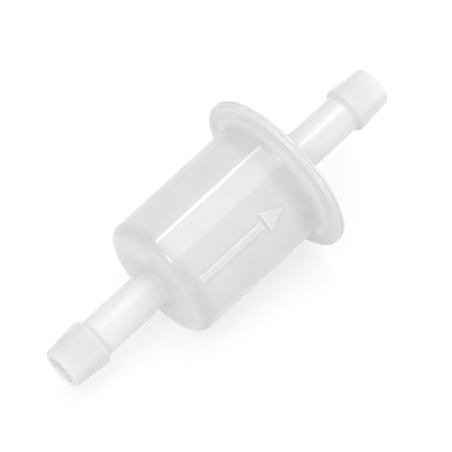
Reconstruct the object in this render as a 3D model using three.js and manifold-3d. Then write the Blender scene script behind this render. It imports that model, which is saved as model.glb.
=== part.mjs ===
// A small inline fuel filter: a welded plastic housing with a barbed hose stub at each end, and inside it a
// pleated paper element bonded into two end caps. Fuel comes in at the -X stub, spreads round the outside
// of the element, goes through the paper into the core tube and leaves by the +X stub.
// Frame: +X is the flow axis, +Z is up, and the origin is on the axis, halfway between the two stub tips.
// Units: mm.
import * as THREE from "three";
import { mergeVertices } from "three/addons/utils/BufferGeometryUtils.js";
import Module from "manifold-3d";

const wasm = await Module();
wasm.setup();

// Fineness of the facets
const ROUND_SEGMENTS = 36; // round the axis
const ARC_TOLERANCE = 0.05; // how far a facet at a rounded corner may lie inside the true arc
const MERGE_DISTANCE = 1e-4; // corners closer than this are one corner

// Hose stubs, the same at both ends
const TIP_X = 41.8; // from the origin to each stub's tip
const BORE_RADIUS = 3.0;
const STUB_RADIUS = 4.0; // for 8 mm hose
const BARB_RADIUS = 4.9;
const TIP_RADIUS = 4.2;
const TIP_ROUNDING = 1.0;
const BARB_LENGTH = 8.0; // from the tip to the crest
const BARB_LEDGE = 1.0; // length of the step behind the crest
const CREST_ROUNDING = 0.5;
const STUB_ROOT_ROUNDING = 1.6;
const BORE_EDGE_ROUNDING = 0.15;

// Housing cup
const WALL = 1.3;
const BARREL_END_X = -17.4; // outer face of the closed end
const BARREL_END_RADIUS = 12.75;
const BARREL_MOUTH_RADIUS = 12.95; // the barrel opens out slightly, for the mould
const BARREL_CORNER_ROUNDING = 2.2;

// Flange: the cup's rim, the weld and the cover's rim
const FLANGE_RADIUS = 17.3;
const FLANGE_NEAR_X = 13.9;
const RIM_THICKNESS = 0.8;
const WELD_THICKNESS = 0.2;
const COVE_ROUNDING = 2.2; // where the barrel meets its flange
const RIM_ROUNDING = 0.4;
const PARTING_ROUNDING = 0.1;
const WELD_INNER_RADIUS = 13.2;
const WELD_OUTER_RADIUS = 17.1;

// Housing cover
const COVER_MIDDLE_THICKNESS = 1.6;
const SKIRT_RADIUS = 11.5; // the ring that centres the cover in the cup's mouth
const SKIRT_WALL = 1.2;
const SKIRT_END_X = 12.6;
const SPIGOT_END_X = 10.6;

// Flow arrow, raised on the barrel
const ARROW_HEIGHT = 0.35;
const ARROW_TURN = 51.5; // degrees from +Z towards -Y
const ARROW_START_X = -14.0;
const ARROW_LENGTH = 22.0;
const ARROW_HEAD_LENGTH = 5.6;
const ARROW_HEAD_WIDTH = 5.4;
const ARROW_SHAFT_WIDTH = 2.0;
const ARROW_BASE_RADIUS = 12.1; // inside the barrel's wall

// Element
const CAP_RADIUS = 10.3;
const CAP_RIM_RADIUS = 9.8; // inside of the tray's rim
const CAP_FLOOR = 1.0;
const CAP_RIM_HEIGHT = 2.0; // above the tray's floor
const CAP_ROUNDING = 0.3;
const INLET_CAP_X = -14.6; // outer face of the closed tray
const OUTLET_CAP_X = 10.4; // outer face of the open tray
const ADHESIVE_DEPTH = 0.8;
const CORE_RADIUS = 5.1;
const CORE_BORE_RADIUS = 4.3;

// Lugs on the inlet end cap
const LUG_COUNT = 4;
const LUG_WIDTH = 1.0;
const FOOT_INNER_RADIUS = 5.0;
const FOOT_OUTER_RADIUS = 9.5;
const FIN_INNER_RADIUS = 10.0; // inside the tray's rim
const FIN_OUTER_RADIUS = 11.2;

// Collar and seal on the outlet end cap
const COLLAR_RADIUS = 6.2;
const COLLAR_BORE_RADIUS = 5.2;
const OUTLET_HOLE_RADIUS = 3.6;
const SEAL_LENGTH = 2.0;
const SEAL_ROUNDING = 0.4;

// Core tube windows
const WINDOW_ROWS = 5;
const WINDOW_COLUMNS = 6;
const WINDOW_LENGTH = 3.0;
const WINDOW_WIDTH = 2.4;
const CORE_END_BAND = 2.2; // solid stretch at each end
const CUTTER_INNER_RADIUS = 1.0; // the cutter for a window starts inside the tube's bore
const CUTTER_OUTER_RADIUS = 6.1; // and ends outside its wall

// Pleats
const PLEATS = 30;
const PAPER_THICKNESS = 0.3;
const PLEAT_OUTER_RADIUS = 9.6;
const PLEAT_INNER_RADIUS = 5.4;
const FOLD_RADIUS = 0.32; // of the paper's middle, at each fold
const FOLD_STEPS = 3;

// Places that follow from the above
const CUP_FLOOR_X = BARREL_END_X + WALL;
const PARTING_X = FLANGE_NEAR_X + RIM_THICKNESS;
const COVER_NEAR_X = PARTING_X + WELD_THICKNESS;
const COVER_FAR_X = COVER_NEAR_X + RIM_THICKNESS;
const COVER_INNER_X = COVER_FAR_X - COVER_MIDDLE_THICKNESS;
const CREST_X = TIP_X - BARB_LENGTH;
const LEDGE_X = CREST_X - BARB_LEDGE;
const INLET_TRAY_X = INLET_CAP_X + CAP_FLOOR;
const OUTLET_TRAY_X = OUTLET_CAP_X - CAP_FLOOR;
const PAPER_START_X = INLET_TRAY_X + ADHESIVE_DEPTH;
const PAPER_END_X = OUTLET_TRAY_X - ADHESIVE_DEPTH;

const NYLON = new THREE.MeshStandardMaterial({ color: 0xe6e7e6, roughness: 0.35, metalness: 0 });
const PAPER = new THREE.MeshStandardMaterial({ color: 0xe3ddc8, roughness: 0.9, metalness: 0 });
const CAP_PLASTIC = new THREE.MeshStandardMaterial({ color: 0xdfe0dd, roughness: 0.5, metalness: 0 });
const ADHESIVE = new THREE.MeshStandardMaterial({ color: 0xd9cfa8, roughness: 0.3, metalness: 0 });
const RUBBER = new THREE.MeshStandardMaterial({ color: 0x2a2a2b, roughness: 0.7, metalness: 0 });

// A closed outline for a turned piece, from corners [x, radius, rounding], with an arc at each rounded
// corner.
function turnedOutline(corners) {
  const pointAt = ([x, radius]) => new THREE.Vector2(radius, x);
  const outline = [];
  corners.forEach((corner, i) => {
    const at = pointAt(corner);
    const rounding = corner[2];
    if (!rounding) {
      outline.push(at);
      return;
    }
    const back = pointAt(corners.at(i - 1)).sub(at).normalize();
    const ahead = pointAt(corners[(i + 1) % corners.length]).sub(at).normalize();
    const halfAngle = Math.acos(back.dot(ahead)) / 2;
    const inwards = back.clone().add(ahead).normalize();
    const centre = at.clone().addScaledVector(inwards, rounding / Math.sin(halfAngle));
    const run = rounding / Math.tan(halfAngle);
    const from = at.clone().addScaledVector(back, run).sub(centre);
    const turn = Math.sign(back.cross(ahead)) * -(Math.PI - 2 * halfAngle);
    const widestStep = 2 * Math.acos(1 - ARC_TOLERANCE / rounding);
    const steps = Math.max(1, Math.round(Math.abs(turn) / widestStep));
    for (let k = 0; k <= steps; k += 1) {
      outline.push(from.clone().rotateAround(new THREE.Vector2(), (turn * k) / steps).add(centre));
    }
  });
  return outline;
}

// A ring or tube: a closed outline turned round the X axis.
function turned(corners) {
  const outline = turnedOutline(corners);
  const lathe = new THREE.LatheGeometry([...outline, outline[0]], ROUND_SEGMENTS);
  return lathe.rotateZ(-Math.PI / 2);
}

function solid(geometry) {
  const bare = geometry.index ? geometry.toNonIndexed() : geometry.clone();
  bare.deleteAttribute("normal");
  bare.deleteAttribute("uv");
  const merged = mergeVertices(bare, MERGE_DISTANCE);
  const mesh = { numProp: 3, vertProperties: merged.attributes.position.array, triVerts: merged.index.array };
  return new wasm.Manifold(new wasm.Mesh(mesh));
}

function geometryOf(manifold) {
  const mesh = manifold.getMesh();
  const geometry = new THREE.BufferGeometry();
  geometry.setAttribute("position", new THREE.BufferAttribute(mesh.vertProperties, 3));
  geometry.setIndex(new THREE.BufferAttribute(mesh.triVerts, 1));
  geometry.computeVertexNormals();
  return geometry;
}

// A box between two radii, standing out from the X axis at an angle from +Z.
function radialBox(fromX, toX, innerRadius, outerRadius, width, angle) {
  const box = new THREE.BoxGeometry(toX - fromX, width, outerRadius - innerRadius);
  box.translate((fromX + toX) / 2, 0, (innerRadius + outerRadius) / 2);
  return box.rotateX(angle);
}

// The stub's corners from the tip's bore edge to the root, on the side that "end" (-1 or 1) says.
function stubCorners(end) {
  return [
    [end * TIP_X, BORE_RADIUS, BORE_EDGE_ROUNDING],
    [end * TIP_X, TIP_RADIUS, TIP_ROUNDING],
    [end * CREST_X, BARB_RADIUS, CREST_ROUNDING],
    [end * LEDGE_X, STUB_RADIUS, 0],
  ];
}

function flowArrow() {
  const headX = ARROW_START_X + ARROW_LENGTH - ARROW_HEAD_LENGTH;
  const halfShaft = ARROW_SHAFT_WIDTH / 2;
  const halfHead = ARROW_HEAD_WIDTH / 2;
  const shape = new THREE.Shape([
    new THREE.Vector2(ARROW_START_X, -halfShaft),
    new THREE.Vector2(headX, -halfShaft),
    new THREE.Vector2(headX, -halfHead),
    new THREE.Vector2(headX + ARROW_HEAD_LENGTH, 0),
    new THREE.Vector2(headX, halfHead),
    new THREE.Vector2(headX, halfShaft),
    new THREE.Vector2(ARROW_START_X, halfShaft),
  ]);
  const depth = BARREL_MOUTH_RADIUS + 2 * ARROW_HEIGHT - ARROW_BASE_RADIUS;
  const prism = new THREE.ExtrudeGeometry(shape, { depth, bevelEnabled: false });
  prism.translate(0, 0, ARROW_BASE_RADIUS).rotateX(THREE.MathUtils.degToRad(ARROW_TURN));
  const skin = turned([
    [BARREL_END_X, STUB_RADIUS],
    [BARREL_END_X, BARREL_END_RADIUS + ARROW_HEIGHT],
    [FLANGE_NEAR_X, BARREL_MOUTH_RADIUS + ARROW_HEIGHT],
    [FLANGE_NEAR_X, STUB_RADIUS],
  ]);
  return solid(prism).intersect(solid(skin));
}

function housingCup() {
  const shell = turned([
    ...stubCorners(-1),
    [BARREL_END_X, STUB_RADIUS, STUB_ROOT_ROUNDING],
    [BARREL_END_X, BARREL_END_RADIUS, BARREL_CORNER_ROUNDING],
    [FLANGE_NEAR_X, BARREL_MOUTH_RADIUS, COVE_ROUNDING],
    [FLANGE_NEAR_X, FLANGE_RADIUS, RIM_ROUNDING],
    [PARTING_X, FLANGE_RADIUS, PARTING_ROUNDING],
    [PARTING_X, BARREL_MOUTH_RADIUS - WALL, 0],
    [CUP_FLOOR_X, BARREL_END_RADIUS - WALL, BARREL_CORNER_ROUNDING - WALL],
    [CUP_FLOOR_X, BORE_RADIUS, BORE_EDGE_ROUNDING],
  ]);
  return geometryOf(solid(shell).add(flowArrow()));
}

function housingCover() {
  return turned([
    [SPIGOT_END_X, BORE_RADIUS, BORE_EDGE_ROUNDING],
    [SPIGOT_END_X, STUB_RADIUS, CAP_ROUNDING],
    [COVER_INNER_X, STUB_RADIUS, 0],
    [COVER_INNER_X, SKIRT_RADIUS - SKIRT_WALL, 0],
    [SKIRT_END_X, SKIRT_RADIUS - SKIRT_WALL, 0],
    [SKIRT_END_X, SKIRT_RADIUS, CAP_ROUNDING],
    [COVER_NEAR_X, SKIRT_RADIUS, 0],
    [COVER_NEAR_X, FLANGE_RADIUS, PARTING_ROUNDING],
    [COVER_FAR_X, FLANGE_RADIUS, RIM_ROUNDING],
    [COVER_FAR_X, STUB_RADIUS, STUB_ROOT_ROUNDING],
    ...stubCorners(1).reverse(),
  ]);
}

function weldRing() {
  return turned([
    [PARTING_X, WELD_INNER_RADIUS],
    [PARTING_X, WELD_OUTER_RADIUS],
    [COVER_NEAR_X, WELD_OUTER_RADIUS],
    [COVER_NEAR_X, WELD_INNER_RADIUS],
  ]);
}

// One side of the pleated band: round the outside of each fold at one radius of curvature, and of each
// root at another, with straight flanks between them.
function pleatedLine(tipCurve, rootCurve) {
  const tipCentre = PLEAT_OUTER_RADIUS - FOLD_RADIUS - PAPER_THICKNESS / 2;
  const rootCentre = PLEAT_INNER_RADIUS + FOLD_RADIUS + PAPER_THICKNESS / 2;
  const halfPitch = Math.PI / PLEATS;
  const tip = new THREE.Vector2(tipCentre, 0);
  const root = new THREE.Vector2(rootCentre, 0).rotateAround(new THREE.Vector2(), halfPitch);
  const between = root.clone().sub(tip);
  const flank = between.angle() + Math.asin((2 * FOLD_RADIUS) / between.length());
  const tipSweep = flank - Math.PI / 2;
  const rootSweep = Math.PI - (tipSweep - halfPitch);
  const line = [];
  const fold = (centreRadius, turn, curve, fromAngle, sweep) => {
    for (let k = 0; k <= FOLD_STEPS; k += 1) {
      const angle = fromAngle + (sweep * k) / FOLD_STEPS;
      const point = new THREE.Vector2(centreRadius + curve * Math.cos(angle), curve * Math.sin(angle));
      line.push(point.rotateAround(new THREE.Vector2(), turn));
    }
  };
  for (let i = 0; i < PLEATS; i += 1) {
    fold(tipCentre, 2 * i * halfPitch, tipCurve, -tipSweep, 2 * tipSweep);
    fold(rootCentre, (2 * i + 1) * halfPitch, rootCurve, -rootSweep, -2 * (Math.PI - rootSweep));
  }
  return line;
}

function filterPaper() {
  const half = PAPER_THICKNESS / 2;
  const shape = new THREE.Shape(pleatedLine(FOLD_RADIUS + half, FOLD_RADIUS - half));
  shape.holes.push(new THREE.Path(pleatedLine(FOLD_RADIUS - half, FOLD_RADIUS + half)));
  const depth = PAPER_END_X - PAPER_START_X;
  const band = new THREE.ExtrudeGeometry(shape, { depth, bevelEnabled: false });
  return band.rotateY(Math.PI / 2).translate(PAPER_START_X, 0, 0);
}

function adhesiveBed(fromX, toX) {
  return turned([
    [fromX, CORE_RADIUS],
    [fromX, CAP_RIM_RADIUS],
    [toX, CAP_RIM_RADIUS],
    [toX, CORE_RADIUS],
  ]);
}

function coreTube() {
  let tube = solid(turned([
    [INLET_TRAY_X, CORE_BORE_RADIUS],
    [INLET_TRAY_X, CORE_RADIUS],
    [OUTLET_TRAY_X, CORE_RADIUS],
    [OUTLET_TRAY_X, CORE_BORE_RADIUS],
  ]));
  const firstX = INLET_TRAY_X + CORE_END_BAND;
  const pitch = (OUTLET_TRAY_X - CORE_END_BAND - WINDOW_LENGTH - firstX) / (WINDOW_ROWS - 1);
  for (let row = 0; row < WINDOW_ROWS; row += 1) {
    const fromX = firstX + row * pitch;
    for (let column = 0; column < WINDOW_COLUMNS; column += 1) {
      const angle = (2 * Math.PI * column) / WINDOW_COLUMNS;
      const cutter = radialBox(
        fromX, fromX + WINDOW_LENGTH, CUTTER_INNER_RADIUS, CUTTER_OUTER_RADIUS, WINDOW_WIDTH, angle,
      );
      tube = tube.subtract(solid(cutter));
    }
  }
  return geometryOf(tube);
}

// The closed tray. Its feet stand on the cup's floor and its fins centre it in the barrel.
function inletEndCap() {
  const rimX = INLET_TRAY_X + CAP_RIM_HEIGHT;
  const tray = new THREE.LatheGeometry(
    [
      new THREE.Vector2(0, INLET_CAP_X),
      new THREE.Vector2(CAP_RADIUS, INLET_CAP_X),
      new THREE.Vector2(CAP_RADIUS, rimX),
      new THREE.Vector2(CAP_RIM_RADIUS, rimX),
      new THREE.Vector2(CAP_RIM_RADIUS, INLET_TRAY_X),
      new THREE.Vector2(0, INLET_TRAY_X),
    ],
    ROUND_SEGMENTS,
  ).rotateZ(-Math.PI / 2);
  let cap = solid(tray);
  const overlap = CAP_FLOOR / 2;
  for (let i = 0; i < LUG_COUNT; i += 1) {
    const angle = (2 * Math.PI * i) / LUG_COUNT;
    const foot = radialBox(
      CUP_FLOOR_X, INLET_CAP_X + overlap, FOOT_INNER_RADIUS, FOOT_OUTER_RADIUS, LUG_WIDTH, angle,
    );
    const fin = radialBox(INLET_CAP_X, rimX, FIN_INNER_RADIUS, FIN_OUTER_RADIUS, LUG_WIDTH, angle);
    cap = cap.add(solid(foot)).add(solid(fin));
  }
  return geometryOf(cap);
}

function outletEndCap() {
  const rimX = OUTLET_TRAY_X - CAP_RIM_HEIGHT;
  return turned([
    [OUTLET_TRAY_X, OUTLET_HOLE_RADIUS, 0],
    [OUTLET_TRAY_X, CAP_RIM_RADIUS, 0],
    [rimX, CAP_RIM_RADIUS, 0],
    [rimX, CAP_RADIUS, 0],
    [OUTLET_CAP_X, CAP_RADIUS, CAP_ROUNDING],
    [OUTLET_CAP_X, COLLAR_RADIUS, CAP_ROUNDING],
    [COVER_INNER_X, COLLAR_RADIUS, 0],
    [COVER_INNER_X, COLLAR_BORE_RADIUS, 0],
    [OUTLET_CAP_X, COLLAR_BORE_RADIUS, 0],
    [OUTLET_CAP_X, OUTLET_HOLE_RADIUS, 0],
  ]);
}

function elementSeal() {
  const endX = OUTLET_CAP_X + SEAL_LENGTH;
  return turned([
    [OUTLET_CAP_X, STUB_RADIUS, SEAL_ROUNDING],
    [OUTLET_CAP_X, COLLAR_BORE_RADIUS, SEAL_ROUNDING],
    [endX, COLLAR_BORE_RADIUS, SEAL_ROUNDING],
    [endX, STUB_RADIUS, SEAL_ROUNDING],
  ]);
}

const fuelFilter = new THREE.Group();
const housing = new THREE.Group();
const element = new THREE.Group();
fuelFilter.add(housing, element);

function place(group, name, geometry, material) {
  const mesh = new THREE.Mesh(geometry, material);
  mesh.name = name;
  group.add(mesh);
}

place(housing, "housing_cup", housingCup(), NYLON);
place(housing, "housing_cover", housingCover(), NYLON);
place(housing, "weld_ring", weldRing(), NYLON);
place(element, "filter_paper", filterPaper(), PAPER);
place(element, "core_tube", coreTube(), CAP_PLASTIC);
place(element, "inlet_end_cap", inletEndCap(), CAP_PLASTIC);
place(element, "outlet_end_cap", outletEndCap(), CAP_PLASTIC);
place(element, "inlet_adhesive_bed", adhesiveBed(INLET_TRAY_X, PAPER_START_X), ADHESIVE);
place(element, "outlet_adhesive_bed", adhesiveBed(PAPER_END_X, OUTLET_TRAY_X), ADHESIVE);
place(element, "element_seal", elementSeal(), RUBBER);

export default fuelFilter;
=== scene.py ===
import math

import bmesh
import bpy
from mathutils import Matrix, Vector, noise


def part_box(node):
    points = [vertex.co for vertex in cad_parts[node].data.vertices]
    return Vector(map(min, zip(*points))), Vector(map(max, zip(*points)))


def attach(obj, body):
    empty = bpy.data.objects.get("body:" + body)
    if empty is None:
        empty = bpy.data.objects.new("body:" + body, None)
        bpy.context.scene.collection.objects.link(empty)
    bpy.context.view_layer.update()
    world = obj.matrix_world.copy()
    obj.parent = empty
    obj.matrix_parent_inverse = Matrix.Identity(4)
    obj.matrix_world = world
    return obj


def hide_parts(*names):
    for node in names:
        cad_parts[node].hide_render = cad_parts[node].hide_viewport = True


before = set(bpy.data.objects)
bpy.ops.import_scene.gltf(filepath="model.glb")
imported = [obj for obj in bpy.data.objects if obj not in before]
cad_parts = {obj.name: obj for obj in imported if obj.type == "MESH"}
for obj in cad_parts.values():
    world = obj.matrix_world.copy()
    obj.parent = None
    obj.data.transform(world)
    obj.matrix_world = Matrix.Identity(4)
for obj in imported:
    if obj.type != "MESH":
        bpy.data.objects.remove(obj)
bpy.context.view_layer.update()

# A small inline fuel filter in milky nylon, lying on its flange rim and the corner of its barrel.
# Lengths are in millimetres unless they say otherwise. x runs along the flow axis, which is the frame's X
# axis, and a radius is measured from it.
MM = 0.001


def node_box(name):
    """A CAD node's lowest and highest corners."""
    low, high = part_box(name)
    return low / MM, high / MM


_, CUP_HIGH = node_box("housing_cup")
COVER_LOW, COVER_HIGH = node_box("housing_cover")
WELD_LOW, WELD_HIGH = node_box("weld_ring")
PAPER_LOW, PAPER_HIGH = node_box("filter_paper")
CORE_LOW, CORE_HIGH = node_box("core_tube")
INLET_CAP_LOW, INLET_CAP_HIGH = node_box("inlet_end_cap")
OUTLET_CAP_LOW, OUTLET_CAP_HIGH = node_box("outlet_end_cap")
INLET_BED_LOW, INLET_BED_HIGH = node_box("inlet_adhesive_bed")
OUTLET_BED_LOW, OUTLET_BED_HIGH = node_box("outlet_adhesive_bed")
SEAL_LOW, SEAL_HIGH = node_box("element_seal")

# Fineness of the meshes
ARC_STEP_DEGREES = 9.0  # at a rounded corner
LONGEST_STEP = 1.0  # along a turned piece's outline
ON_AXIS = 1e-6  # a smaller radius is a point on the axis
COVER_SEGMENTS = 180
WELD_SEGMENTS = 240
ELEMENT_SEGMENTS = 96

# Roundings of edges that have no size of their own
SHARP_EDGE = 0.1
CRISP_EDGE = 0.15
EASED_EDGE = 0.2
SOFT_EDGE = 0.3

# Hose stubs, the same at both ends
TIP_X = COVER_HIGH.x
BORE_RADIUS = 3.0
STUB_RADIUS = 4.0
BARB_RADIUS = 4.9
TIP_RADIUS = 4.2
TIP_ROUNDING = 1.0
BARB_LENGTH = 8.0
BARB_LEDGE = 1.0
CREST_ROUNDING = 0.9
LEDGE_ROOT_ROUNDING = 0.8
STUB_ROOT_ROUNDING = 1.6

# Cup
WALL = 1.3
BARREL_END_X = INLET_CAP_LOW.x - WALL
BARREL_END_RADIUS = 12.75
BARREL_MOUTH_RADIUS = 12.95
BARREL_CORNER = 2.2
CUP_FLOOR_X = INLET_CAP_LOW.x

# Flange
FLANGE_RADIUS = CUP_HIGH.z
RIM_THICKNESS = 0.8
PARTING_X = WELD_LOW.x
COVER_NEAR_X = WELD_HIGH.x
FLANGE_NEAR_X = PARTING_X - RIM_THICKNESS
COVER_FAR_X = COVER_NEAR_X + RIM_THICKNESS
COVE = 2.2
RIM_ROUNDING = 0.4

# Weld
WELD_INNER_RADIUS = 13.2
WELD_BEAD = 0.05  # by which the melted edge stands out beyond the CAD ring
WELD_EDGE_ROUNDING = 0.08
WAVER_FROM_RADIUS = 15.0  # outside this, the melted edge wavers
WAVER = 0.05
WAVER_LENGTHS = 6  # noise lengths from the axis to the edge

# Cover
COVER_INNER_X = OUTLET_CAP_HIGH.x
SKIRT_END_X = 12.6
SKIRT_RADIUS = 11.5
SKIRT_WALL = 1.2

# Flow arrow
ARROW_HEIGHT = 0.35
ARROW_TURN = math.radians(51.5)  # from +Z towards -Y
ARROW_START_X = -14.0
ARROW_LENGTH = 22.0
ARROW_HEAD_LENGTH = 5.6
ARROW_HEAD_WIDTH = 5.4
ARROW_SHAFT_WIDTH = 2.0
ARROW_SLOPE = 0.4  # width of the drafted, rounded side of the raised arrow
ARROW_JOIN = 0.01  # how far the shaft runs into the head
ARROW_MARGIN = 1.0  # beyond both ends, where no point is raised
SKIN_DEPTH = 0.6  # points further than this inside the barrel's mean radius aren't raised
BARREL_SLACK = 0.05  # this far inside its smaller radius still counts as the barrel
BARREL_ROW = 0.13  # spacing of the mesh along the barrel
ARROW_SPREAD = 0.65  # half of the finely meshed stretch round the barrel, in arrow head widths
ARROW_COLUMNS = 48  # of the mesh across that stretch
OTHER_COLUMNS = 132  # and round the rest of the barrel

# Pleats
PLEATS = 30
PAPER_THICKNESS = 0.3
FOLD_RADIUS = 0.32  # of the paper's middle
PLEAT_INNER_RADIUS = 5.4
PLEAT_DEPTH = 4.2
PLEAT_OUTER_RADIUS = PLEAT_INNER_RADIUS + PLEAT_DEPTH
PAPER_CLEARANCE = 0.02  # by which the paper lies inside its outer radius
FOLD_STEPS = 8
PAPER_ROWS = 40
LEAN = 0.012  # radians by which a pleat leans to one side
LEAN_PER_PLEAT = 3.7  # noise lengths
LEAN_PER_MM = 0.12
WAVE = 0.06  # by which a pleat waves in and out
WAVE_PER_PLEAT = 1.3
WAVE_PER_MM = 0.35
WAVE_PLANE = 5  # keeps the waves apart from the leaning in the noise

# Core tube
CORE_BORE_RADIUS = 4.3
WINDOW_ROWS = 5
WINDOW_COLUMNS = 6
WINDOW_LENGTH = 3.0
WINDOW_WIDTH = 2.4
WINDOW_CORNER = 0.5
WINDOW_SIDE_POINTS = 12
WINDOW_LOOPS = (0.0, 0.35, 0.7, 1.0)  # shares of the way from the cell's edge to the window's
WINDOW_EDGE = 0.08
WINDOW_EDGE_SEGMENTS = 2
WINDOW_EDGE_ANGLE = math.radians(50)
CORE_END_BAND = 2.2
BAND_ROWS = 3
MERGE_DISTANCE = 0.005

# End caps, adhesive and seal
CAP_RADIUS = 10.3
CAP_RIM_RADIUS = 9.8
CAP_FLOOR = 1.0
LUG_COUNT = 4
LUG_WIDTH = 1.0
LUG_EDGE_SEGMENTS = 3
ROUND_PROFILE = 0.5
FOOT_INNER_RADIUS = 5.0
FOOT_OUTER_RADIUS = 9.5
FIN_INNER_RADIUS = 10.0
FIN_SETBACK = 0.1  # from the edge of the tray's rim
SHARP_ANGLE = math.radians(35)
OUTLET_HOLE_RADIUS = 3.6
COLLAR_RADIUS = 6.2
COLLAR_BORE_RADIUS = 5.2
ADHESIVE_CREEP = 0.25  # up the walls on both sides
CREEP_POWER = 6
CREEP_STEPS = 16
SEAL_ROUNDING = 0.4

# Milky nylon, with painted light. Where it is thin and lit from both sides, at the stubs and the flange, and
# less on the end faces round the stubs, the light through the wall is painted as a lighter grey: these are
# radii and shares of it.
PAINTED_LIGHT_WHITE = (0.92, 0.92, 0.92)
PAINTED_LIGHT_SHARES = [
    (3.4, 0.0), (3.9, 0.34), (4.1, 0.34),
    (4.5, 0.2), (5.0, 0.24), (6.6, 0.45), (10.8, 0.3), (12.4, 0.0),
    (13.1, 0.0), (13.9, 0.75), (15.0, 1.0), (16.6, 1.0), (17.1, 0.0),
]
# Painted light: the bores are painted near-white, for the light that comes through the stubs' walls and
# keeps them bright.
BORE_PAINTED_LIGHT_WHITE = (0.98, 0.98, 0.98)
BORE_PAINTED_LIGHT_SHARES = [(BORE_RADIUS, 1.0), (3.4, 0.0)]
# Painted shade: the barbs are thicker, and the pale element stops short of both ends of the barrel, so both
# let less light through and are painted a darker grey. These are x and shares of the painted darker grey.
PAINTED_SHADE_GREY = (0.64, 0.64, 0.64)
PAINTED_SHADE_SHARES = [
    (-34.0, 0.35), (-32.8, 0.0),
    (BARREL_END_X, 0.0), (-16.4, 0.85), (-15.4, 0.85), (-13.8, 0.0),
    (8.0, 0.0), (9.8, 0.6), (11.0, 0.6), (12.6, 0.0),
    (32.8, 0.0), (34.0, 0.2),
]

# A noise lies mostly between these.
NOISE_LOW = 0.3
NOISE_HIGH = 0.7

# Camera
VIEW_ELEVATION = math.radians(52.6)  # above the floor
VIEW_TURN = math.radians(44.65)  # of the flow axis, from the camera's right, in the floor
VIEW_DISTANCE = 450.0
VIEW_FIELD = 85.1  # seen across the picture at the filter
VIEW_AIM_X = 0.4
VIEW_AIM_DROP = 0.9  # how far the picture's middle lies below the flow axis
AXIS_SLOPE_IN_VIEW = math.radians(42.5)
SENSOR_WIDTH = 36.0
CLIP_START = 0.01  # metres
CLIP_END = 20.0  # metres

# Floor and light
FLOOR_HALF_WIDTH = 1.5  # metres
FLOOR_GLOW = 0.62  # the filter lies on a light table
WORLD_STRENGTH = 1.0
WHITE = (1, 1, 1, 1)
LAMP_DISTANCE = 500
INLET_FILL_DIRECTION = Vector((-1, 0, 0.12))
KEY_OFFSET = 0.28  # of the key lamp from the camera, towards the upper left

# ---------------------------------------------------------------- geometry helpers


def arc_points(back, at, ahead, rounding):
    """The rounded corner at "at", between straight sides that come from "back" and go on to "ahead"."""
    to_back = (back - at).normalized()
    to_ahead = (ahead - at).normalized()
    half = math.acos(max(-1.0, min(1.0, to_back.dot(to_ahead)))) / 2
    centre = at + (to_back + to_ahead).normalized() * (rounding / math.sin(half))
    start = at + to_back * (rounding / math.tan(half)) - centre
    cross = to_back.x * to_ahead.y - to_back.y * to_ahead.x
    turn = -math.copysign(math.pi - 2 * half, cross)
    steps = max(2, round(math.degrees(abs(turn)) / ARC_STEP_DEGREES))
    points = []
    for k in range(steps + 1):
        angle = turn * k / steps
        cos, sin = math.cos(angle), math.sin(angle)
        points.append(centre + Vector((start.x * cos - start.y * sin, start.x * sin + start.y * cos)))
    return points


def turned_outline(corners, closed=True):
    """Points (x, radius) along corners (x, radius, rounding), with arcs, in steps that are never long."""
    rough = []
    for i, (x, radius, rounding) in enumerate(corners):
        at = Vector((x, radius))
        if rounding:
            back = Vector(corners[i - 1][:2])
            ahead = Vector(corners[(i + 1) % len(corners)][:2])
            rough += arc_points(back, at, ahead, rounding)
        else:
            rough.append(at)
    fine = []
    last = len(rough) if closed else len(rough) - 1
    for i in range(last):
        here, there = rough[i], rough[(i + 1) % len(rough)]
        steps = max(1, math.ceil((there - here).length / LONGEST_STEP))
        fine += [here.lerp(there, k / steps) for k in range(steps)]
    if not closed:
        fine.append(rough[-1])
    return fine


def even_angles(count):
    return [2 * math.pi * i / count for i in range(count)]


def on_axis(x, radius, angle):
    """The point at x, radius and angle from +Z towards -Y, in metres."""
    return Vector((x, -radius * math.sin(angle), radius * math.cos(angle))) * MM


def turned_mesh(name, outline, angles, closed=True, shape=None):
    """A turned piece. "shape" may move a point: it takes and gives back (x, radius, angle)."""
    shape = shape or (lambda x, radius, angle: (x, radius, angle))
    mesh = bmesh.new()
    rings = []
    for point in outline:
        if point.y < ON_AXIS:
            rings.append([mesh.verts.new(on_axis(*shape(point.x, 0.0, 0.0)))])
        else:
            rings.append([mesh.verts.new(on_axis(*shape(point.x, point.y, a))) for a in angles])
    count = len(angles)
    pairs = list(zip(rings, rings[1:]))
    if closed:
        pairs.append((rings[-1], rings[0]))
    for low, high in pairs:
        for i in range(count):
            j = (i + 1) % count
            if len(low) == 1:
                mesh.faces.new((low[0], high[j], high[i]))
            elif len(high) == 1:
                mesh.faces.new((low[i], low[j], high[0]))
            else:
                mesh.faces.new((low[i], low[j], high[j], high[i]))
    bmesh.ops.recalc_face_normals(mesh, faces=mesh.faces)
    return finished(name, mesh)


def finished(name, mesh):
    data = bpy.data.meshes.new(name)
    mesh.to_mesh(data)
    mesh.free()
    data.polygons.foreach_set("use_smooth", [True] * len(data.polygons))
    piece = bpy.data.objects.new(name, data)
    bpy.context.scene.collection.objects.link(piece)
    return piece


def rides(piece, node, material):
    """Puts the piece in the place of its CAD node."""
    piece.data.materials.append(material)
    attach(piece, "root")
    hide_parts(node)
    return piece


def smooth_step(low, high, value):
    t = max(0.0, min(1.0, (value - low) / (high - low)))
    return t * t * (3 - 2 * t)


# ---------------------------------------------------------------- materials


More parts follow.
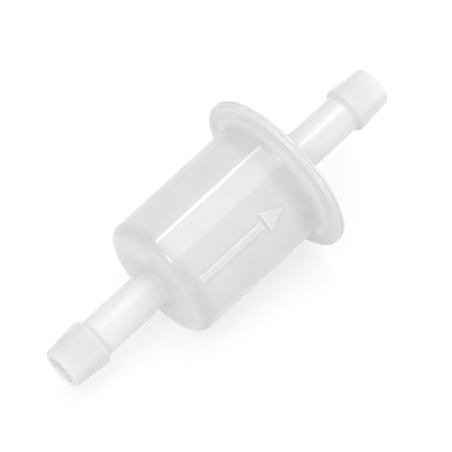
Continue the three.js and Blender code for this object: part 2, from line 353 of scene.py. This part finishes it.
class Nodes:
    """A short way to write a node material."""

    def __init__(self, name):
        self.material = bpy.data.materials.new(name)
        self.material.use_nodes = True
        self.tree = self.material.node_tree
        self.tree.nodes.clear()
        self.coordinates = self.node("ShaderNodeTexCoord").outputs["Object"]

    def node(self, kind, **settings):
        made = self.tree.nodes.new(kind)
        for key, value in settings.items():
            setattr(made, key, value)
        return made

    def link(self, output, socket):
        self.tree.links.new(output, socket)

    def noise(self, size_mm, detail=2.0, roughness=0.5, stretch=(1, 1, 1)):
        """Noise whose blobs are about size_mm across."""
        mapping = self.node("ShaderNodeMapping")
        mapping.inputs["Scale"].default_value = [s / (size_mm * MM) for s in stretch]
        self.link(self.coordinates, mapping.inputs["Vector"])
        texture = self.node("ShaderNodeTexNoise")
        texture.inputs["Scale"].default_value = 1.0
        texture.inputs["Detail"].default_value = detail
        texture.inputs["Roughness"].default_value = roughness
        self.link(mapping.outputs["Vector"], texture.inputs["Vector"])
        return texture.outputs["Fac"]

    def ramp(self, value, stops):
        """stops are (position, grey or colour)."""
        ramp = self.node("ShaderNodeValToRGB")
        elements = ramp.color_ramp.elements
        while len(elements) < len(stops):
            elements.new(0.5)  # moved to its own position below
        for element, (position, colour) in zip(elements, stops):
            element.position = position
            element.color = (colour, colour, colour, 1) if isinstance(colour, (int, float)) else (*colour, 1)
        self.link(value, ramp.inputs["Fac"])
        return ramp.outputs["Color"]

    def between(self, low, high, value):
        """Spreads a noise over two greys or colours."""
        return self.ramp(value, [(NOISE_LOW, low), (NOISE_HIGH, high)])

    def radius(self, inner_mm, outer_mm):
        """0 at the inner distance from the flow axis, 1 at the outer one."""
        across = self.node("ShaderNodeVectorMath", operation="MULTIPLY")
        across.inputs[1].default_value = (0, 1 / MM, 1 / MM)
        self.link(self.coordinates, across.inputs[0])
        length = self.node("ShaderNodeVectorMath", operation="LENGTH")
        self.link(across.outputs["Vector"], length.inputs[0])
        span = self.node("ShaderNodeMapRange")
        span.inputs["From Min"].default_value = inner_mm
        span.inputs["From Max"].default_value = outer_mm
        self.link(length.outputs["Value"], span.inputs["Value"])
        return span.outputs["Result"]

    def along(self, start_mm, end_mm):
        """0 at the start and 1 at the end of a stretch of the flow axis."""
        split = self.node("ShaderNodeSeparateXYZ")
        self.link(self.coordinates, split.inputs[0])
        span = self.node("ShaderNodeMapRange")
        span.inputs["From Min"].default_value = start_mm * MM
        span.inputs["From Max"].default_value = end_mm * MM
        self.link(split.outputs["X"], span.inputs["Value"])
        return span.outputs["Result"]

    def mix(self, share, colour, other):
        """The colour where the share is 0, and the fixed other colour where it is 1."""
        mix = self.node("ShaderNodeMix", data_type="RGBA")
        mix.inputs["B"].default_value = (*other, 1)
        self.link(share, mix.inputs["Factor"])
        self.link(colour, mix.inputs["A"])
        return mix.outputs["Result"]

    def bump(self, height, strength, distance_mm):
        bump = self.node("ShaderNodeBump")
        bump.inputs["Strength"].default_value = strength
        bump.inputs["Distance"].default_value = distance_mm * MM
        self.link(height, bump.inputs["Height"])
        return bump.outputs["Normal"]

    def principled(self, colour, roughness, normal=None, **values):
        shader = self.node("ShaderNodeBsdfPrincipled")
        self.link(colour, shader.inputs["Base Color"])
        self.link(roughness, shader.inputs["Roughness"])
        if normal:
            self.link(normal, shader.inputs["Normal"])
        for key, value in values.items():
            shader.inputs[key.replace("_", " ")].default_value = value
        output = self.node("ShaderNodeOutputMaterial")
        self.link(shader.outputs["BSDF"], output.inputs["Surface"])
        return self.material


def milky_nylon():
    nodes = Nodes("milky_nylon")
    colour = nodes.between(0.715, 0.745, nodes.noise(size_mm=7.0, detail=3.0))
    radius = nodes.radius(0.0, FLANGE_RADIUS)

    def by_radius(shares):
        return nodes.ramp(radius, [(r / FLANGE_RADIUS, share) for r, share in shares])

    # Painted light: a lighter grey by radius, at the thin, backlit stubs and flange.
    colour = nodes.mix(by_radius(PAINTED_LIGHT_SHARES), colour, PAINTED_LIGHT_WHITE)
    # Painted shade: a darker grey along x, at the barbs and at both ends of the barrel.
    gap = nodes.ramp(nodes.along(-TIP_X, TIP_X), [((x / TIP_X + 1) / 2, share) for x, share in PAINTED_SHADE_SHARES])
    colour = nodes.mix(gap, colour, PAINTED_SHADE_GREY)
    # Painted light: the stubs' bores painted near-white.
    colour = nodes.mix(by_radius(BORE_PAINTED_LIGHT_SHARES), colour, BORE_PAINTED_LIGHT_WHITE)
    roughness = nodes.between(0.10, 0.16, nodes.noise(size_mm=0.9, detail=3.0))
    normal = nodes.bump(nodes.noise(size_mm=5.0, detail=1.0), strength=0.3, distance_mm=0.1)
    return nodes.principled(
        colour, roughness, normal,
        IOR=1.5,
        Transmission_Weight=0.3,
        Subsurface_Weight=1.0,
        Subsurface_Radius=(1.0, 1.0, 1.0),
        Subsurface_Scale=0.001,
    )


def melted_nylon():
    nodes = Nodes("melted_nylon")
    colour = nodes.between(0.82, 0.9, nodes.noise(size_mm=1.2, detail=3.0))
    roughness = nodes.between(0.3, 0.5, nodes.noise(size_mm=0.5))
    normal = nodes.bump(nodes.noise(size_mm=0.4, detail=3.0), strength=0.5, distance_mm=0.05)
    return nodes.principled(colour, roughness, normal, Subsurface_Weight=0.3, Subsurface_Scale=0.0006)


def pleated_paper():
    nodes = Nodes("pleated_paper")
    fibres = nodes.noise(size_mm=0.25, detail=6.0, roughness=0.7, stretch=(0.35, 1, 1))
    colour = nodes.between((0.70, 0.66, 0.55), (0.86, 0.83, 0.74), fibres)
    roughness = nodes.between(0.8, 0.95, nodes.noise(size_mm=0.3))
    normal = nodes.bump(fibres, strength=0.6, distance_mm=0.04)
    return nodes.principled(colour, roughness, normal)


def cap_plastic():
    nodes = Nodes("cap_plastic")
    colour = nodes.between((0.76, 0.76, 0.74), (0.83, 0.83, 0.81), nodes.noise(size_mm=3.0))
    roughness = nodes.between(0.4, 0.55, nodes.noise(size_mm=0.8))
    normal = nodes.bump(nodes.noise(size_mm=0.5), strength=0.3, distance_mm=0.02)
    return nodes.principled(colour, roughness, normal, Subsurface_Weight=0.2, Subsurface_Scale=0.0005)


def adhesive():
    nodes = Nodes("adhesive")
    colour = nodes.between((0.66, 0.58, 0.40), (0.78, 0.72, 0.56), nodes.noise(size_mm=1.5))
    roughness = nodes.between(0.15, 0.3, nodes.noise(size_mm=1.0))
    normal = nodes.bump(nodes.noise(size_mm=1.2), strength=0.5, distance_mm=0.08)
    return nodes.principled(colour, roughness, normal, Subsurface_Weight=0.3, Subsurface_Scale=0.0006)


def seal_rubber():
    nodes = Nodes("seal_rubber")
    colour = nodes.between(0.02, 0.045, nodes.noise(size_mm=0.6, detail=3.0))
    roughness = nodes.between(0.45, 0.65, nodes.noise(size_mm=0.4))
    normal = nodes.bump(nodes.noise(size_mm=0.2, detail=3.0), strength=0.3, distance_mm=0.01)
    return nodes.principled(colour, roughness, normal)


def floor_white():
    nodes = Nodes("floor_white")
    colour = nodes.between(0.30, 0.32, nodes.noise(size_mm=40.0))
    roughness = nodes.between(0.6, 0.7, nodes.noise(size_mm=10.0))
    return nodes.principled(
        colour, roughness,
        Specular_IOR_Level=0.2,
        Emission_Color=WHITE,
        Emission_Strength=FLOOR_GLOW,
    )


# ---------------------------------------------------------------- housing


def stub_corners(end):
    """From the tip's bore edge to the root of the ledge, at the -X or +X end."""
    return [
        (end * TIP_X, BORE_RADIUS, CRISP_EDGE),
        (end * TIP_X, TIP_RADIUS, TIP_ROUNDING),
        (end * (TIP_X - BARB_LENGTH), BARB_RADIUS, CREST_ROUNDING),
        (end * (TIP_X - BARB_LENGTH - BARB_LEDGE), STUB_RADIUS, LEDGE_ROOT_ROUNDING),
    ]


def arrow_distance(x, across):
    """Signed distance from a point on the barrel to the arrow's outline, negative inside it."""
    head_x = ARROW_START_X + ARROW_LENGTH - ARROW_HEAD_LENGTH
    half_head = ARROW_HEAD_WIDTH / 2
    across = abs(across)
    shaft = max(ARROW_START_X - x, x - head_x - ARROW_JOIN, across - ARROW_SHAFT_WIDTH / 2)
    slope = math.hypot(ARROW_HEAD_LENGTH, half_head)
    side = ((x - head_x) * half_head + (across - half_head) * ARROW_HEAD_LENGTH) / slope
    head = max(head_x - x, side)
    return min(shaft, head)


def raise_arrow(x, radius, angle):
    middle = (BARREL_END_RADIUS + BARREL_MOUTH_RADIUS) / 2
    end_x = ARROW_START_X + ARROW_LENGTH
    if radius < middle - SKIN_DEPTH or not ARROW_START_X - ARROW_MARGIN < x < end_x + ARROW_MARGIN:
        return x, radius, angle
    turn = (angle - ARROW_TURN + math.pi) % (2 * math.pi) - math.pi
    distance = arrow_distance(x, turn * radius)
    height = ARROW_HEIGHT * (1 - smooth_step(-ARROW_SLOPE, 0.0, distance))
    return x, radius + height, angle


def housing_cup(material):
    corners = [
        *stub_corners(-1),
        (BARREL_END_X, STUB_RADIUS, STUB_ROOT_ROUNDING),
        (BARREL_END_X, BARREL_END_RADIUS, BARREL_CORNER),
        (FLANGE_NEAR_X, BARREL_MOUTH_RADIUS, COVE),
        (FLANGE_NEAR_X, FLANGE_RADIUS, RIM_ROUNDING),
        (PARTING_X, FLANGE_RADIUS, CRISP_EDGE),
        (PARTING_X, BARREL_MOUTH_RADIUS - WALL, SHARP_EDGE),
        (CUP_FLOOR_X, BARREL_END_RADIUS - WALL, BARREL_CORNER - WALL),
        (CUP_FLOOR_X, BORE_RADIUS, CRISP_EDGE),
    ]
    outline = turned_outline(corners)
    # The mesh is finer along the barrel, and round it where the arrow stands.
    fine = []
    barrel_radius = BARREL_END_RADIUS - BARREL_SLACK
    for here, there in zip(outline, outline[1:] + outline[:1]):
        on_barrel = min(here.y, there.y) > barrel_radius and max(here.x, there.x) < FLANGE_NEAR_X
        steps = max(1, math.ceil((there - here).length / BARREL_ROW)) if on_barrel else 1
        fine += [here.lerp(there, k / steps) for k in range(steps)]
    dense = ARROW_HEAD_WIDTH / BARREL_END_RADIUS * ARROW_SPREAD
    rest = 2 * math.pi - 2 * dense
    angles = [ARROW_TURN - dense + 2 * dense * i / ARROW_COLUMNS for i in range(ARROW_COLUMNS)]
    angles += [ARROW_TURN + dense + rest * i / OTHER_COLUMNS for i in range(OTHER_COLUMNS)]
    piece = turned_mesh("housing_cup_visual", fine, angles, shape=raise_arrow)
    return rides(piece, "housing_cup", material)


def housing_cover(material):
    corners = [
        (COVER_LOW.x, BORE_RADIUS, CRISP_EDGE),
        (COVER_LOW.x, STUB_RADIUS, SOFT_EDGE),
        (COVER_INNER_X, STUB_RADIUS, SOFT_EDGE),
        (COVER_INNER_X, SKIRT_RADIUS - SKIRT_WALL, SOFT_EDGE),
        (SKIRT_END_X, SKIRT_RADIUS - SKIRT_WALL, EASED_EDGE),
        (SKIRT_END_X, SKIRT_RADIUS, SOFT_EDGE),
        (COVER_NEAR_X, SKIRT_RADIUS, SHARP_EDGE),
        (COVER_NEAR_X, FLANGE_RADIUS, CRISP_EDGE),
        (COVER_FAR_X, FLANGE_RADIUS, RIM_ROUNDING),
        (COVER_FAR_X, STUB_RADIUS, STUB_ROOT_ROUNDING),
        *reversed(stub_corners(1)),
    ]
    piece = turned_mesh("housing_cover_visual", turned_outline(corners), even_angles(COVER_SEGMENTS))
    return rides(piece, "housing_cover", material)


def weld_ring(material):
    corners = [
        (PARTING_X, WELD_INNER_RADIUS, 0.0),
        (PARTING_X, WELD_HIGH.z + WELD_BEAD, WELD_EDGE_ROUNDING),
        (COVER_NEAR_X, WELD_HIGH.z + WELD_BEAD, WELD_EDGE_ROUNDING),
        (COVER_NEAR_X, WELD_INNER_RADIUS, 0.0),
    ]

    def squeeze(x, radius, angle):
        if radius > WAVER_FROM_RADIUS:
            way_out = Vector((math.cos(angle), math.sin(angle), 0))
            radius += WAVER * noise.noise(way_out * WAVER_LENGTHS)
        return x, radius, angle

    outline = turned_outline(corners)
    piece = turned_mesh("weld_ring_visual", outline, even_angles(WELD_SEGMENTS), shape=squeeze)
    return rides(piece, "weld_ring", material)


# ---------------------------------------------------------------- element


def pleated_line(tip_curve, root_curve):
    """One side of the pleated band, as (radius, angle) points."""
    tip_centre = PLEAT_OUTER_RADIUS - FOLD_RADIUS - PAPER_THICKNESS / 2
    root_centre = PLEAT_INNER_RADIUS + FOLD_RADIUS + PAPER_THICKNESS / 2
    half_pitch = math.pi / PLEATS
    root = Vector((root_centre * math.cos(half_pitch), root_centre * math.sin(half_pitch)))
    between = root - Vector((tip_centre, 0))
    flank = math.atan2(between.y, between.x) + math.asin(2 * FOLD_RADIUS / between.length)
    tip_sweep = flank - math.pi / 2
    root_start = math.pi - (tip_sweep - half_pitch)
    line = []

    def fold(centre, turn, curve, start, sweep):
        for k in range(FOLD_STEPS + 1):
            angle = start + sweep * k / FOLD_STEPS
            x, y = centre + curve * math.cos(angle), curve * math.sin(angle)
            line.append((math.hypot(x, y), turn + math.atan2(y, x)))

    for i in range(PLEATS):
        fold(tip_centre, 2 * i * half_pitch, tip_curve, -tip_sweep, 2 * tip_sweep)
        fold(root_centre, (2 * i + 1) * half_pitch, root_curve, -root_start, -2 * (math.pi - root_start))
    return line


def paper_point(x, radius, angle, free):
    """A point of the paper, moved as much as the paper is free to."""
    pleat = round(angle * PLEATS / (2 * math.pi))
    lean = noise.noise(Vector((pleat * LEAN_PER_PLEAT, x * LEAN_PER_MM, 0))) * LEAN
    wave = noise.noise(Vector((pleat * WAVE_PER_PLEAT, x * WAVE_PER_MM, WAVE_PLANE))) * WAVE
    return on_axis(x, radius + wave * free - PAPER_CLEARANCE, angle + lean * free)


def filter_paper(material):
    half = PAPER_THICKNESS / 2
    outside = pleated_line(FOLD_RADIUS + half, FOLD_RADIUS - half)
    inside = pleated_line(FOLD_RADIUS - half, FOLD_RADIUS + half)
    mesh = bmesh.new()
    rows = []
    for row in range(PAPER_ROWS + 1):
        along = row / PAPER_ROWS
        x = PAPER_LOW.x + (PAPER_HIGH.x - PAPER_LOW.x) * along
        free = math.sin(math.pi * along)  # the adhesive holds the ends straight
        rows.append([
            [mesh.verts.new(paper_point(x, radius, angle, free)) for radius, angle in line]
            for line in (outside, inside)
        ])
    count = len(outside)
    for low, high in zip(rows, rows[1:]):
        for i in range(count):
            j = (i + 1) % count
            mesh.faces.new((low[0][i], low[0][j], high[0][j], high[0][i]))
            mesh.faces.new((low[1][j], low[1][i], high[1][i], high[1][j]))
    for i in range(count):
        j = (i + 1) % count
        mesh.faces.new((rows[0][0][j], rows[0][0][i], rows[0][1][i], rows[0][1][j]))
        mesh.faces.new((rows[-1][0][i], rows[-1][0][j], rows[-1][1][j], rows[-1][1][i]))
    bmesh.ops.recalc_face_normals(mesh, faces=mesh.faces)
    return rides(finished("filter_paper_visual", mesh), "filter_paper", material)


def rectangle_walk(length, width, corner):
    """Points round a rectangle with rounded corners, the same number on each side."""
    points = []
    for i in range(4 * WINDOW_SIDE_POINTS):
        side, k = divmod(i, WINDOW_SIDE_POINTS)
        t = 2 * k / WINDOW_SIDE_POINTS - 1
        u, v = [(1, t), (-t, 1), (-1, -t), (t, -1)][side]
        x, y = u * length / 2, v * width / 2
        inner_x, inner_y = length / 2 - corner, width / 2 - corner
        if corner and abs(x) > inner_x and abs(y) > inner_y:
            centre = Vector((math.copysign(inner_x, x), math.copysign(inner_y, y)))
            out = (Vector((x, y)) - centre).normalized() * corner
            x, y = centre + out
        points.append((x, y))
    return points


def bridge(mesh, loops):
    """Faces between each closed loop and the next."""
    for a, b in zip(loops, loops[1:]):
        for i in range(len(a)):
            j = (i + 1) % len(a)
            mesh.faces.new((a[i], a[j], b[j], b[i]))


def core_tube(material):
    outer = CORE_HIGH.z
    first = CORE_LOW.x + CORE_END_BAND
    last = CORE_HIGH.x - CORE_END_BAND
    gap = (last - first - WINDOW_ROWS * WINDOW_LENGTH) / (WINDOW_ROWS - 1)
    cell_length = WINDOW_LENGTH + gap
    cell_angle = 2 * math.pi / WINDOW_COLUMNS
    cell = rectangle_walk(cell_length, cell_angle * outer, 0)
    window = rectangle_walk(WINDOW_LENGTH, WINDOW_WIDTH, WINDOW_CORNER)
    mesh = bmesh.new()

    def vertex(x, angle):
        return mesh.verts.new(on_axis(x, outer, angle))

    for row in range(WINDOW_ROWS):
        middle_x = first + WINDOW_LENGTH / 2 + row * cell_length
        for column in range(WINDOW_COLUMNS):
            middle = column * cell_angle
            loops = []
            for t in WINDOW_LOOPS:
                loop = []
                for (cell_x, cell_y), (window_x, window_y) in zip(cell, window):
                    x, y = cell_x + (window_x - cell_x) * t, cell_y + (window_y - cell_y) * t
                    loop.append(vertex(middle_x + x, middle + y / outer))
                loops.append(loop)
            bridge(mesh, loops)
    angles = even_angles(WINDOW_COLUMNS * WINDOW_SIDE_POINTS)
    for from_x, to_x in ((CORE_LOW.x, first - gap / 2), (last + gap / 2, CORE_HIGH.x)):
        bridge(mesh, [
            [vertex(from_x + (to_x - from_x) * k / BAND_ROWS, angle - cell_angle / 2) for angle in angles]
            for k in range(BAND_ROWS + 1)
        ])
    bmesh.ops.remove_doubles(mesh, verts=mesh.verts, dist=MERGE_DISTANCE * MM)
    bmesh.ops.recalc_face_normals(mesh, faces=mesh.faces)
    piece = finished("core_tube_visual", mesh)
    thick = piece.modifiers.new("wall", "SOLIDIFY")
    thick.thickness = (outer - CORE_BORE_RADIUS) * MM
    thick.offset = -1
    bevel = piece.modifiers.new("edges", "BEVEL")
    bevel.width = WINDOW_EDGE * MM
    bevel.segments = WINDOW_EDGE_SEGMENTS
    bevel.limit_method = "ANGLE"
    bevel.angle_limit = WINDOW_EDGE_ANGLE
    return rides(piece, "core_tube", material)


def adhesive_bed(name, bed_low, bed_high, free_side, material):
    """free_side is the side that the pleats stand on: 1 for +X, -1 for -X."""
    inner, outer = CORE_HIGH.z, bed_high.z
    floor_x, top_x = (bed_low.x, bed_high.x) if free_side > 0 else (bed_high.x, bed_low.x)
    creep = ADHESIVE_CREEP * free_side
    points = [Vector((floor_x, inner)), Vector((floor_x, outer))]
    for k in range(CREEP_STEPS + 1):
        t = k / CREEP_STEPS
        edge = (2 * t - 1) ** CREEP_POWER
        points.append(Vector((top_x + creep * edge, outer + (inner - outer) * t)))
    piece = turned_mesh(name + "_visual", points, even_angles(ELEMENT_SEGMENTS))
    return rides(piece, name, material)


def joined(piece, others):
    """Unions the other closed meshes into the piece."""
    for other in others:
        union = piece.modifiers.new("join", "BOOLEAN")
        union.operation = "UNION"
        union.solver = "EXACT"
        union.object = other
        graph = bpy.context.evaluated_depsgraph_get()
        data = bpy.data.meshes.new_from_object(piece.evaluated_get(graph), depsgraph=graph)
        piece.modifiers.clear()
        piece.data = data
        bpy.data.objects.remove(other)
    return piece


def rounded_block(low_x, high_x, inner, outer, angle):
    """A lug with rounded edges that stands out from the axis at an angle."""
    mesh = bmesh.new()
    bmesh.ops.create_cube(mesh, size=1.0)
    for v in mesh.verts:
        v.co = Vector((
            (low_x + high_x) / 2 + v.co.x * (high_x - low_x),
            v.co.y * LUG_WIDTH,
            (inner + outer) / 2 + v.co.z * (outer - inner),
        )) * MM
    bmesh.ops.bevel(
        mesh, geom=list(mesh.edges), offset=CRISP_EDGE * MM, segments=LUG_EDGE_SEGMENTS,
        profile=ROUND_PROFILE, affect="EDGES",
    )
    mesh.transform(Matrix.Rotation(angle, 4, "X"))
    return finished("block", mesh)


def inlet_end_cap(material):
    tray_x = INLET_BED_LOW.x
    back_x = tray_x - CAP_FLOOR
    rim_x = INLET_CAP_HIGH.x
    corners = [
        (back_x, 0.0, 0.0),
        (back_x, CAP_RADIUS, SOFT_EDGE),
        (rim_x, CAP_RADIUS, CRISP_EDGE),
        (rim_x, CAP_RIM_RADIUS, CRISP_EDGE),
        (tray_x, CAP_RIM_RADIUS, EASED_EDGE),
        (tray_x, 0.0, 0.0),
    ]
    outline = turned_outline(corners, closed=False)
    piece = turned_mesh("inlet_end_cap_visual", outline, even_angles(ELEMENT_SEGMENTS), closed=False)
    foot_end_x = back_x + CAP_FLOOR / 2
    fin_end_x = rim_x - FIN_SETBACK
    lugs = []
    for angle in even_angles(LUG_COUNT):
        lugs.append(rounded_block(CUP_FLOOR_X, foot_end_x, FOOT_INNER_RADIUS, FOOT_OUTER_RADIUS, angle))
        lugs.append(rounded_block(back_x, fin_end_x, FIN_INNER_RADIUS, INLET_CAP_HIGH.z, angle))
    joined(piece, lugs)
    piece.data.set_sharp_from_angle(angle=SHARP_ANGLE)
    return rides(piece, "inlet_end_cap", material)


def outlet_end_cap(material):
    tray_x = OUTLET_BED_HIGH.x
    back_x = tray_x + CAP_FLOOR
    rim_x = OUTLET_CAP_LOW.x
    corners = [
        (tray_x, OUTLET_HOLE_RADIUS, SHARP_EDGE),
        (tray_x, CAP_RIM_RADIUS, EASED_EDGE),
        (rim_x, CAP_RIM_RADIUS, CRISP_EDGE),
        (rim_x, CAP_RADIUS, CRISP_EDGE),
        (back_x, CAP_RADIUS, SOFT_EDGE),
        (back_x, COLLAR_RADIUS, SOFT_EDGE),
        (COVER_INNER_X, COLLAR_RADIUS, EASED_EDGE),
        (COVER_INNER_X, COLLAR_BORE_RADIUS, EASED_EDGE),
        (back_x, COLLAR_BORE_RADIUS, SHARP_EDGE),
        (back_x, OUTLET_HOLE_RADIUS, SHARP_EDGE),
    ]
    piece = turned_mesh("outlet_end_cap_visual", turned_outline(corners), even_angles(ELEMENT_SEGMENTS))
    return rides(piece, "outlet_end_cap", material)


def element_seal(material):
    corners = [
        (SEAL_LOW.x, STUB_RADIUS, SEAL_ROUNDING),
        (SEAL_LOW.x, SEAL_HIGH.z, SEAL_ROUNDING),
        (SEAL_HIGH.x, SEAL_HIGH.z, SEAL_ROUNDING),
        (SEAL_HIGH.x, STUB_RADIUS, SEAL_ROUNDING),
    ]
    piece = turned_mesh("element_seal_visual", turned_outline(corners), even_angles(ELEMENT_SEGMENTS))
    return rides(piece, "element_seal", material)


nylon = milky_nylon()
plastic = cap_plastic()
glue = adhesive()
housing_cup(nylon)
housing_cover(nylon)
weld_ring(melted_nylon())
filter_paper(pleated_paper())
core_tube(plastic)
adhesive_bed("inlet_adhesive_bed", INLET_BED_LOW, INLET_BED_HIGH, 1, glue)
adhesive_bed("outlet_adhesive_bed", OUTLET_BED_LOW, OUTLET_BED_HIGH, -1, glue)
inlet_end_cap(plastic)
outlet_end_cap(plastic)
element_seal(seal_rubber())

# ---------------------------------------------------------------- floor, camera and light

# The filter lies on two circles of its section: the flange's rounded rim and the barrel's rounded corner.
rim_centre = Vector((FLANGE_NEAR_X + RIM_ROUNDING, 0, -(FLANGE_RADIUS - RIM_ROUNDING)))
corner_centre = Vector((BARREL_END_X + BARREL_CORNER, 0, -(BARREL_END_RADIUS - BARREL_CORNER)))
span = rim_centre - corner_centre
floor_slope = math.atan2(-span.z, span.x) - math.asin((BARREL_CORNER - RIM_ROUNDING) / span.length)
floor_up = Vector((math.sin(floor_slope), 0, math.cos(floor_slope)))
floor_point = rim_centre - floor_up * RIM_ROUNDING

axis_in_floor = Vector((math.cos(floor_slope), 0, -math.sin(floor_slope)))
left_of_axis = floor_up.cross(axis_in_floor)
view_right = axis_in_floor * math.cos(VIEW_TURN) - left_of_axis * math.sin(VIEW_TURN)
view_ahead = floor_up.cross(view_right)
view_back = floor_up * math.sin(VIEW_ELEVATION) - view_ahead * math.cos(VIEW_ELEVATION)
view_up = view_back.cross(view_right)


def add_camera():
    down_right = view_right * math.sin(AXIS_SLOPE_IN_VIEW) - view_up * math.cos(AXIS_SLOPE_IN_VIEW)
    aim = Vector((VIEW_AIM_X, 0, 0)) + down_right * VIEW_AIM_DROP
    data = bpy.data.cameras.new("camera")
    data.sensor_width = SENSOR_WIDTH
    data.lens = data.sensor_width * VIEW_DISTANCE / VIEW_FIELD
    data.clip_start = CLIP_START
    data.clip_end = CLIP_END
    camera = bpy.data.objects.new("camera", data)
    rotation = Matrix((view_right, view_up, view_back)).transposed()
    camera.matrix_world = Matrix.Translation((aim + view_back * VIEW_DISTANCE) * MM) @ rotation.to_4x4()
    bpy.context.scene.collection.objects.link(camera)
    bpy.context.scene.camera = camera


def add_floor():
    mesh = bmesh.new()
    bmesh.ops.create_grid(mesh, x_segments=1, y_segments=1, size=FLOOR_HALF_WIDTH)
    rotation = Matrix((axis_in_floor, left_of_axis, floor_up)).transposed()
    mesh.transform(Matrix.Translation(floor_point * MM) @ rotation.to_4x4())
    floor = finished("floor", mesh)
    floor.data.materials.append(floor_white())


def add_softbox(name, direction, long_way, length, width, radiance, shift=0.0):
    """A rectangular lamp that faces the filter, its long side along "long_way", shifted that way."""
    direction = direction.normalized()
    long_side = (long_way - direction * long_way.dot(direction)).normalized()
    short_side = direction.cross(long_side)
    data = bpy.data.lights.new(name, "AREA")
    data.shape = "RECTANGLE"
    data.size = length * MM
    data.size_y = width * MM
    data.energy = radiance * math.pi * data.size * data.size_y
    lamp = bpy.data.objects.new(name, data)
    rotation = Matrix((long_side, short_side, direction)).transposed()
    place = direction * LAMP_DISTANCE + long_side * shift
    lamp.matrix_world = Matrix.Translation(place * MM) @ rotation.to_4x4()
    bpy.context.scene.collection.objects.link(lamp)


def add_light():
    axis = Vector((1, 0, 0))
    along = -view_back.dot(axis)
    facing = (view_back + axis * along).normalized()
    up_left = axis.cross(facing)
    if up_left.dot(view_up) < 0:
        up_left = -up_left

    def around(degrees, lean):
        """The direction this far round from the barrel's nearest line, upwards, leaning towards +X."""
        turn = math.radians(degrees)
        across = facing * math.cos(turn) + up_left * math.sin(turn)
        return across * math.cos(lean) + axis * math.sin(lean)

    def mirrored(degrees):
        """The direction that the camera sees mirrored in the barrel."""
        return around(degrees, math.asin(along))

    inlet_side = around(-48, math.radians(-20))
    outlet_side = around(-48, math.radians(50))
    key = view_back + KEY_OFFSET * (view_up - view_right).normalized()
    add_softbox("main_softbox", mirrored(28), axis, length=220, width=400, radiance=1.6)
    add_softbox("barrel_strip", mirrored(52), axis, length=40, width=10, radiance=64.0, shift=-13)
    add_softbox("stub_strip", mirrored(23), axis, length=26, width=10, radiance=54.0, shift=51)
    add_softbox("inlet_fill", INLET_FILL_DIRECTION, left_of_axis, length=400, width=400, radiance=1.1)
    add_softbox("inlet_side_fill", inlet_side, axis, length=400, width=200, radiance=1.2)
    add_softbox("outlet_side_fill", outlet_side, axis, length=300, width=200, radiance=1.5)
    add_softbox("key_softbox", key, axis, length=150, width=150, radiance=7.0)
    world = bpy.data.worlds.new("white_room")
    world.use_nodes = True
    background = world.node_tree.nodes["Background"]
    background.inputs["Color"].default_value = WHITE
    background.inputs["Strength"].default_value = WORLD_STRENGTH
    bpy.context.scene.world = world


add_camera()
add_floor()
add_light()
bpy.context.scene.view_settings.view_transform = "Standard"
